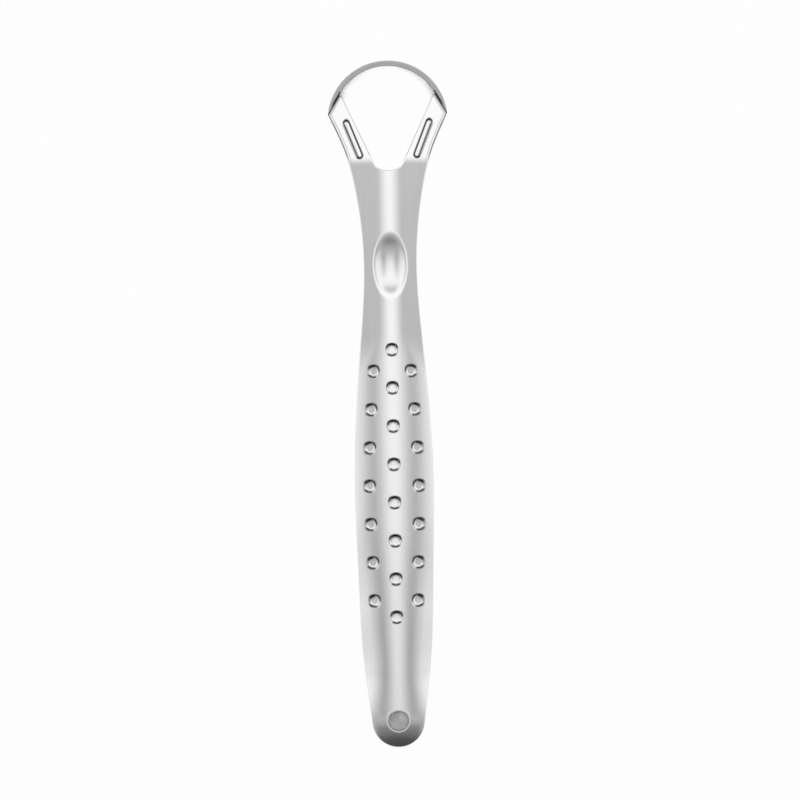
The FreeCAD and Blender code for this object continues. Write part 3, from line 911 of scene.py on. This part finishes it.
def steel(name, look, stretch, form, polar=False, creases=None):
    """Brushed stainless steel. The brushing runs along Y, or round the arch if polar."""
    material = bpy.data.materials.new(name)
    bench = Bench(material)
    place = bench.node("ShaderNodeTexCoord", out="Object")
    x, y, z = bench.axes(place)
    if polar:
        turn = x.math("ARCTAN2", x, y - form.arch_centre.y)
        grain_at = bench.node("ShaderNodeCombineXYZ", {}, {
            0: turn * stretch[0], 1: z * stretch[1]})
    else:
        grain_at = bench.node("ShaderNodeMapping", {}, {"Vector": place, "Scale": stretch})
    grain = bench.noise(grain_at, *GRAIN_NOISE)
    broad = bench.noise(grain_at, *BROAD_NOISE)
    cloud = bench.noise(place, *CLOUD_NOISE)
    streak = (grain * 0.5 + broad * 0.5 - 0.5) * look.brushing
    soft = (cloud - 0.5) * CLOUD_TONE
    tone = 0.5 + streak + soft
    for mark, change in TONE_MARKS.items():
        tone = tone + bench.mark(mark) * change
    rough = look.roughness + streak * STREAK_ROUGHNESS + soft * CLOUD_ROUGHNESS
    for mark, change in ROUGHNESS_MARKS.items():
        rough = rough + bench.mark(mark) * change
    base = bench.mix(tone, colour(look.shade), colour(look.shine))
    # Painted shade: the lines that the creases function gives darken the colour
    if creases:
        base = bench.mix(creases(form, (x, y, z)), base, colour(look.crease))
    bump = bench.node("ShaderNodeBump", {}, {
        "Strength": look.relief, "Distance": RELIEF_DEPTH, "Height": grain})
    shader = bench.node("ShaderNodeBsdfPrincipled", {}, {
        "Base Color": base, "Roughness": rough, "Metallic": 1.0, "Normal": bump,
        "Specular Tint": colour(look.edge)})
    bench.node("ShaderNodeOutputMaterial", {}, {"Surface": shader})
    return material


# Studio

# Light of the room over the sideways and the lengthwise part of a direction
ACROSS_STOPS = ((0.0, 0.98), (0.1, 0.94), (0.2, 0.79), (0.3, 0.62), (0.375, 0.53),
                (0.41, 0.495), (0.454, 0.51), (0.53, 0.585), (0.6, 0.7), (0.675, 0.79),
                (0.74, 0.88), (0.85, 0.92), (1.0, 0.92))
ALONG_STOPS = ((0.0, 0.09), (0.055, 0.125), (0.12, 0.275), (0.18, 0.35), (0.2275, 0.575),
               (0.3025, 0.71), (0.3875, 0.745), (0.41, 0.79), (0.43, 0.9), (0.45, 0.965),
               (0.5, 1.0), (0.737, 1.0), (0.755, 0.93), (0.785, 0.62), (0.815, 0.48),
               (0.845, 0.37), (0.9, 0.33), (0.95, 0.42), (1.0, 0.5))

# Parts of a direction between which one light of the room gives way to the next
SIDE_REACH = (0.3, 0.75)
HEAD_REACH = (-0.05, 0.45)
TAIL_REACH = (-0.2, -0.45)
HEAD_HORIZON = (0.15, 0.45)
HORIZON_FOOT = 0.03
SIDE_HORIZON = 0.45  # share of light at the horizon, away from the axis

# Floor, lamp and camera
SHADE_SAMPLES = 16
SHADE_FADE = (0.37, 0.43)  # open share of the sky between which the floor turns white
FLOOR_SIDES = 96
KEY_SIZE = (0.5, 0.7)
KEY_PLACE = (0.0, 0.6, 0.9)
LENS = 800.0
SENSOR = 36.0
CLIP = (0.01, 50.0)


def studio_world(stage):
    """Soft boxes by direction: a strip overhead, light sides, a dark far end and horizon."""
    world = bpy.data.worlds.new("studio")
    bpy.context.scene.world = world
    bench = Bench(world)
    x, y, z = bench.axes(bench.node("ShaderNodeTexCoord", out="Generated"))
    aside = abs(x)
    across = bench.node("ShaderNodeValToRGB", {"stops": ACROSS_STOPS}, {"Fac": aside})
    along = bench.node("ShaderNodeValToRGB", {"stops": ALONG_STOPS}, {"Fac": y * 0.5 + 0.5})
    side = aside.step(*SIDE_REACH)
    along = along.most(side * stage.side_fill)
    level = across * stage.overhead
    level = level + y.step(*HEAD_REACH) * (stage.head_box - level)
    level = level + y.step(*TAIL_REACH) * (stage.tail_wall - level)
    horizon = z.step(HORIZON_FOOT, stage.horizon).most(side * SIDE_HORIZON)
    level = level * along * horizon.most(y.step(*HEAD_HORIZON))
    level = level + bench.ray("Is Camera Ray") * (1.0 - level)
    background = bench.node("ShaderNodeBackground", {}, {"Color": WHITE, "Strength": level})
    bench.node("ShaderNodeOutputWorld", {}, {"Surface": background})


def floor_material(stage):
    """Pale floor: white to the eye and to gloss, and it still takes a shadow."""
    material = bpy.data.materials.new("floor_white")
    bench = Bench(material)
    seen = bench.ray("Is Camera Ray").most(bench.ray("Is Glossy Ray"))
    seen = seen.most(bench.ray("Is Transmission Ray"))
    matt = bench.node("ShaderNodeBsdfDiffuse", {}, {"Color": colour(stage.floor_colour)})
    glow = bench.node("ShaderNodeEmission", {}, {"Color": WHITE, "Strength": 1.0})
    free = bench.node("ShaderNodeAmbientOcclusion", {"samples": SHADE_SAMPLES}, {
        "Distance": stage.shade_reach}, out="AO")
    lit = seen * stage.floor_glow * free.step(*SHADE_FADE)
    shader = bench.node("ShaderNodeMixShader", {}, {0: lit, 1: matt, 2: glow})
    bench.node("ShaderNodeOutputMaterial", {}, {"Surface": shader})
    return material


def build_stage(stage):
    """Floor, room light, soft key lamp and the camera."""
    studio_world(stage)
    bm = bmesh.new()
    bmesh.ops.create_circle(bm, cap_ends=True, segments=FLOOR_SIDES,
                            radius=stage.floor_radius)
    floor = add_object("studio_floor", mesh_from("studio_floor", bm, floor_material(stage)))

    lamp = bpy.data.lights.new("soft_key", "AREA")
    lamp.shape = "RECTANGLE"
    lamp.size, lamp.size_y = KEY_SIZE
    lamp.energy = stage.key_power
    key = add_object("soft_key", lamp)
    key.location = KEY_PLACE
    key.rotation_euler = (-math.atan2(KEY_PLACE[1], KEY_PLACE[2]), 0.0, 0.0)
    key.visible_glossy = False

    camera = bpy.data.cameras.new("camera")
    camera.lens = LENS
    camera.sensor_width = SENSOR
    camera.clip_start, camera.clip_end = CLIP
    eye = add_object("camera", camera)
    eye.location = (stage.aim_x, stage.aim_y, stage.frame_width * LENS / SENSOR)
    eye.rotation_euler = (0.0, 0.0, stage.roll)
    bpy.context.scene.camera = eye
    bpy.context.scene.view_settings.view_transform = "Standard"


# Settings

def size_of(name, description, millimetres):
    """Setting of a length."""
    return bpy.props.FloatProperty(name=name, description=description, unit="LENGTH",
                                   default=millimetres * MM, precision=5)


def turn_of(name, description, degrees):
    """Setting of an angle."""
    return bpy.props.FloatProperty(name=name, description=description, subtype="ANGLE",
                                   default=math.radians(degrees))


def number_of(name, description, value):
    """Setting of a plain number."""
    return bpy.props.FloatProperty(name=name, description=description, default=value,
                                   precision=4)


def colour_of(name, description, grey):
    """Setting of a colour, grey at first."""
    return bpy.props.FloatVectorProperty(name=name, description=description, size=3,
                                         subtype="COLOR", min=0.0, max=1.0,
                                         default=(grey, grey, grey))


class SCRAPER_PG_handle(bpy.types.PropertyGroup):
    """Sizes of the pressed handle"""
    sheet: size_of("Sheet", "Gauge of the handle's sheet", 0.8)
    edge_rounding: size_of("Edge rounding", "Width of the tumbled edges", 0.16)
    edge_wear: size_of("Edge polish", "How far in from the edges the polish reaches", 0.45)
    hole_d: size_of("Hang hole", "Diameter of the hang hole", 4.6)
    thumb_place: size_of("Thumb rest place", "Middle of the thumb rest", 106.15)
    thumb_length: size_of("Thumb rest length", "Length of the thumb rest's bowl", 14.1)
    thumb_width: size_of("Thumb rest width", "Width of the thumb rest's bowl", 7.2)
    thumb_depth: size_of("Thumb rest depth", "Depth of the thumb rest", 1.6)
    thumb_rounding: size_of("Thumb rest rim", "Rounding of the thumb rest's rim", 0.55)
    thumb_flatness: number_of("Thumb rest floor", "Power of the thumb rest's section", 2.4)
    dot_d: size_of("Dot diameter", "Diameter of the press dots", 2.8)
    dot_floor_d: size_of("Dot floor", "Diameter of the dots' flat floor", 2.05)
    dot_depth: size_of("Dot depth", "Depth of the press dots", 0.4)
    dot_rim: number_of("Dot rim", "Rounding of the dots' rim as a share of the wall", 0.12)
    dot_fillet: number_of("Dot fillet", "Fillet of the dots' floor as a share of the wall", 0.6)
    dot_pitch: size_of("Dot pitch", "Distance between dots of a row", 8.9)
    dot_start: size_of("First dot", "Place of the first dot of the middle row", 24.2)
    dot_lead: size_of("Side dot lead", "How far the side dots stand ahead", 3.9)
    dot_margin: size_of("Side dot margin", "Side dots from the side edge", 3.5)
    dot_count: bpy.props.IntProperty(name="Dots", description="Dots in the middle row",
                                     default=8, min=2, max=12)
    groove_length: size_of("Groove length", "Length of the arm grooves", 10.0)
    groove_width: size_of("Groove width", "Width of the arm grooves", 1.9)
    groove_floor: size_of("Groove floor", "Width of the grooves' floor", 0.8)
    groove_depth: size_of("Groove depth", "Depth of the arm grooves", 0.6)
    groove_line: size_of("Groove lines", "Distance between the creases of a groove", 1.3)
    groove_x: size_of("Groove from axis", "Middle of the groove from the axis", 8.15)
    groove_y: size_of("Groove place", "Middle of the groove along the handle", 135.6)
    groove_turn: turn_of("Groove turn", "Turn of the groove out of the axis", 21.5)
    # Measure for the half widths of the painted shade lines of a groove
    crease: size_of("Crease", "Measure for the half widths of a groove's creases", 0.26)
    # How far the darkening beside the seam reaches
    seam_darkening: size_of("Seam tint", "How far the weld darkens the arms", 1.1)


class SCRAPER_PG_strip(bpy.types.PropertyGroup):
    """Sizes of the scraping strip"""
    gauge: size_of("Gauge", "Sheet gauge of the strip", 0.6)
    height: size_of("Height", "Height of the free arch", 4.0)
    edge_chamfer: size_of("Edge chamfer", "Broken corners of the scraping edge", 0.2)
    edge_rounding: size_of("Edge rounding", "Rounding of the strip's upper edges", 0.08)
    # Width of the painted shade of the seam gap beside the arms
    seam_shade_width: size_of("Seam line", "Width of the dark weld line beside the arms", 0.42)
    seam_gap: size_of("Seam gap", "Gap between strip and arm", 0.01)
    flare: turn_of("Flare", "Lean of the strip's wall", 10.5)


class SCRAPER_PG_beads(bpy.types.PropertyGroup):
    """Sizes of the weld beads"""
    leg: size_of("Leg", "Leg of the bead", 0.7)
    start: turn_of("Start", "Where a bead starts on the arch", 66.0)
    end: turn_of("End", "Where a bead ends on the arch", 82.0)
    fullness: number_of("Fullness", "Radius of the bead as a share of its leg", 0.6)
    inset: number_of("Inset", "How far the bead stands off the corner, in radii", 0.6)
    ripple: number_of("Ripple", "Height of the weld ripples as a share of the radius", 0.07)
    ripple_count: number_of("Ripples", "Weld ripples of one bead", 7.0)


def steel_group(name, note, shade, shine, edge, roughness, brushing, relief):
    """Property group with the colour and finish of one steel surface."""
    return type(name, (bpy.types.PropertyGroup,), {"__doc__": note, "__annotations__": {
        "shade": colour_of("Shade", "Colour in the brushing's troughs", shade),
        "shine": colour_of("Shine", "Colour on the brushing's ridges", shine),
        # Colour of the painted shade in creases and at the seam gap
        "crease": colour_of("Creases", "Colour of creases and of the weld line", 0.02),
        "edge": colour_of("Edge tint", "Tint of the reflection at grazing angles", edge),
        "roughness": number_of("Roughness", "Middle roughness", roughness),
        "brushing": number_of("Brushing", "Strength of the brushed streaks", brushing),
        "relief": number_of("Relief", "Strength of the brushed relief", relief),
    }})


SCRAPER_PG_satin = steel_group(
    "SCRAPER_PG_satin", "Satin steel of the handle", shade=0.68, shine=0.88, edge=0.9,
    roughness=0.12, brushing=0.45, relief=0.05)
# Darker than the handle's steel: painted shade on the strip's wall
SCRAPER_PG_strip_steel = steel_group(
    "SCRAPER_PG_strip_steel", "Brushed steel of the strip", shade=0.3, shine=0.42, edge=0.72,
    roughness=0.2, brushing=0.5, relief=0.1)
SCRAPER_PG_weld = steel_group(
    "SCRAPER_PG_weld", "Raw steel of the beads", shade=0.4, shine=0.6, edge=0.9,
    roughness=0.32, brushing=0.5, relief=0.25)


class SCRAPER_PG_stage(bpy.types.PropertyGroup):
    """Studio light, floor and camera"""
    floor_colour: colour_of("Floor", "Colour of the floor", 0.72)
    floor_glow: number_of("Floor white", "Share of plain white the eye sees", 0.97)
    shade_reach: size_of("Shade reach", "How far off a cover shades the floor", 12.0)
    floor_radius: size_of("Floor radius", "Radius of the floor", 3000.0)
    overhead: number_of("Overhead", "Light of the strip overhead", 1.22)
    head_box: number_of("Head box", "Light above the head", 1.25)
    tail_wall: number_of("Tail wall", "Even light of the wall beyond the tip", 0.8)
    side_fill: number_of("Side fill", "Share of light at the far ends, away from the axis", 0.8)
    horizon: number_of("Horizon", "Height of the dark horizon as part of a direction", 0.17)
    key_power: number_of("Key", "Power of the soft key lamp in watts", 1.6)
    frame_width: size_of("Frame", "Width of the picture at the table", 186.4)
    aim_x: size_of("Aim across", "Camera aim across the object", 1.68)
    aim_y: size_of("Aim along", "Camera aim along the object", 0.87)
    roll: turn_of("Roll", "Turn of the camera about its axis", -1.05)


# Operators

def current_form(scene):
    """Form of the pressed sheet with the scene's settings."""
    return PressForm(scene.scraper_handle, scene.scraper_strip)


class SCRAPER_OT_handle(bpy.types.Operator):
    """Make the pressed handle"""
    bl_idname = "scraper.handle"
    bl_label = "Handle"

    def execute(self, context):
        form = current_form(context.scene)
        build_handle(form, steel("satin_steel", context.scene.scraper_satin, HANDLE_BRUSHING,
                                 form, creases=handle_shade_lines))
        return {"FINISHED"}


class SCRAPER_OT_strip(bpy.types.Operator):
    """Make the scraping strip"""
    bl_idname = "scraper.strip"
    bl_label = "Scraping strip"

    def execute(self, context):
        form = current_form(context.scene)
        build_strip(form, steel("strip_steel", context.scene.scraper_strip_steel,
                                STRIP_BRUSHING, form, polar=True, creases=strip_seam_shade))
        return {"FINISHED"}


class SCRAPER_OT_beads(bpy.types.Operator):
    """Make the weld beads between strip and arms"""
    bl_idname = "scraper.beads"
    bl_label = "Weld beads"

    def execute(self, context):
        form = current_form(context.scene)
        build_beads(form, context.scene.scraper_beads,
                    steel("weld_steel", context.scene.scraper_weld, BEAD_BRUSHING, form))
        return {"FINISHED"}


class SCRAPER_OT_stage(bpy.types.Operator):
    """Set up floor, light and camera"""
    bl_idname = "scraper.stage"
    bl_label = "Studio"

    def execute(self, context):
        build_stage(context.scene.scraper_stage)
        return {"FINISHED"}


class SCRAPER_PT_panel(bpy.types.Panel):
    """Tools of the tongue scraper"""
    bl_label = "Tongue scraper"
    bl_idname = "SCRAPER_PT_panel"
    bl_space_type = "VIEW_3D"
    bl_region_type = "UI"
    bl_category = "Tongue scraper"

    def draw(self, context):
        for operator in OPERATORS:
            self.layout.operator(operator.bl_idname)


SETTINGS = {
    "scraper_handle": SCRAPER_PG_handle,
    "scraper_strip": SCRAPER_PG_strip,
    "scraper_beads": SCRAPER_PG_beads,
    "scraper_satin": SCRAPER_PG_satin,
    "scraper_strip_steel": SCRAPER_PG_strip_steel,
    "scraper_weld": SCRAPER_PG_weld,
    "scraper_stage": SCRAPER_PG_stage,
}
OPERATORS = (SCRAPER_OT_handle, SCRAPER_OT_strip, SCRAPER_OT_beads, SCRAPER_OT_stage)
CLASSES = (*SETTINGS.values(), *OPERATORS, SCRAPER_PT_panel)


def register():
    for cls in CLASSES:
        bpy.utils.register_class(cls)
    for name, cls in SETTINGS.items():
        setattr(bpy.types.Scene, name, bpy.props.PointerProperty(type=cls))


def unregister():
    for name in SETTINGS:
        delattr(bpy.types.Scene, name)
    for cls in reversed(CLASSES):
        bpy.utils.unregister_class(cls)


def main():
    register()
    bpy.ops.scraper.handle()
    bpy.ops.scraper.strip()
    bpy.ops.scraper.beads()
    bpy.ops.scraper.stage()


if __name__ == "__main__":
    main()
